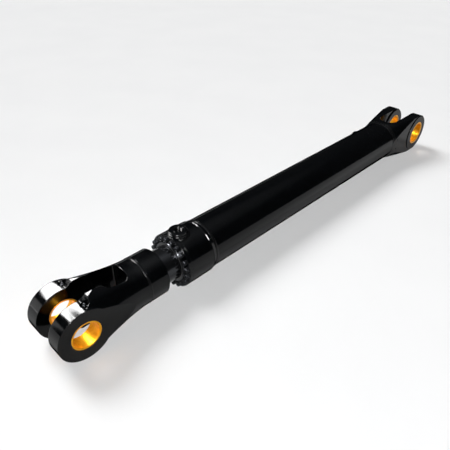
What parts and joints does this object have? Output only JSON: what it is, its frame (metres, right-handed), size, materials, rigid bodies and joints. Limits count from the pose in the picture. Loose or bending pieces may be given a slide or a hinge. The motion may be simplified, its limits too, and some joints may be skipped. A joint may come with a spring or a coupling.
{
  "type": "telescopic hydraulic cylinder",
  "caption": "Two-stage telescopic hydraulic cylinder with a bronze-bushed clevis at each end, bolted gland and threaded oil ports.",
  "frame": {"origin": "centre of the base clevis pin bore, midway between its ears", "axes": "+X along the cylinder's axis towards the rod clevis, +Y along the clevis pins, +Z out of the head port"},
  "size_m": [2.3734, 0.227, 0.227],
  "materials": {
    "black_paint": "gloss black paint on machined and forged steel",
    "painted_weld": "weld bead under gloss black paint",
    "bearing_bronze": "polished bearing bronze",
    "black_oxide_steel": "black oxide high-tensile steel",
    "black_rubber": "nitrile rubber",
    "backup_plastic": "hard plastic back-up ring",
    "wiper_rubber": "dark wiper rubber",
    "seal_polyurethane": "polyurethane seal",
    "guide_composite": "fabric-filled guide material",
    "nitrided_steel": "polished black nitrided steel",
    "machined_steel": "machined steel"
  },
  "bodies": {
    "barrel": {"base_clevis": "black_paint", "barrel_tube": "black_paint", "base_port_boss": "black_paint", "barrel_head": "black_paint", "head_port_boss": "black_paint", "gland_flange": "black_paint", "base_weld_bead": "painted_weld", "base_port_weld": "painted_weld", "head_weld_bead": "painted_weld", "head_port_weld": "painted_weld", "base_bushing_left": "bearing_bronze", "base_bushing_right": "bearing_bronze", "base_grease_nipples": "black_oxide_steel", "gland_screws_set": "black_oxide_steel", "gland_o_ring": "black_rubber", "gland_backup_ring": "backup_plastic", "gland_wiper": "wiper_rubber", "gland_rod_seal": "seal_polyurethane", "gland_guide_front": "guide_composite", "gland_guide_rear": "guide_composite"},
    "sleeve": {"sleeve_guide_bush": "bearing_bronze", "sleeve_lock_screws": "black_oxide_steel", "sleeve_wiper": "wiper_rubber", "sleeve_rod_seal": "seal_polyurethane", "sleeve_piston_seal": "seal_polyurethane", "sleeve_piston_guide_front": "guide_composite", "sleeve_piston_guide_rear": "guide_composite", "sleeve_tube": "nitrided_steel", "sleeve_head": "nitrided_steel", "sleeve_piston": "machined_steel", "sleeve_stop_tube": "machined_steel"},
    "rod_guides": {"rod_guide_front": "guide_composite", "rod_guide_rear": "guide_composite"},
    "rod": {"rod_end_collar": "black_paint", "rod_clevis": "black_paint", "clevis_weld_bead": "painted_weld", "rod_bushing_left": "bearing_bronze", "rod_bushing_right": "bearing_bronze", "rod_grease_nipples": "black_oxide_steel", "rod_foot_nut": "black_oxide_steel", "rod_tube": "nitrided_steel", "rod_foot_plug": "machined_steel", "rod_foot_piston": "machined_steel", "rod_stop_tube": "machined_steel"}
  },
  "joints": [
    {"name": "sleeve_slide", "type": "slide", "parent": "barrel", "child": "sleeve", "axis": [1, 0, 0], "range_m": [0, 1.2]},
    {"name": "rod_slide", "type": "slide", "parent": "sleeve", "child": "rod_guides", "axis": [1, 0, 0], "range_m": [0, 1.2]},
    {"name": "rod_turn", "type": "hinge", "parent": "rod_guides", "child": "rod", "pos_m": [2.178, 0, 0], "axis": [1, 0, 0], "continuous": true}
  ]
}
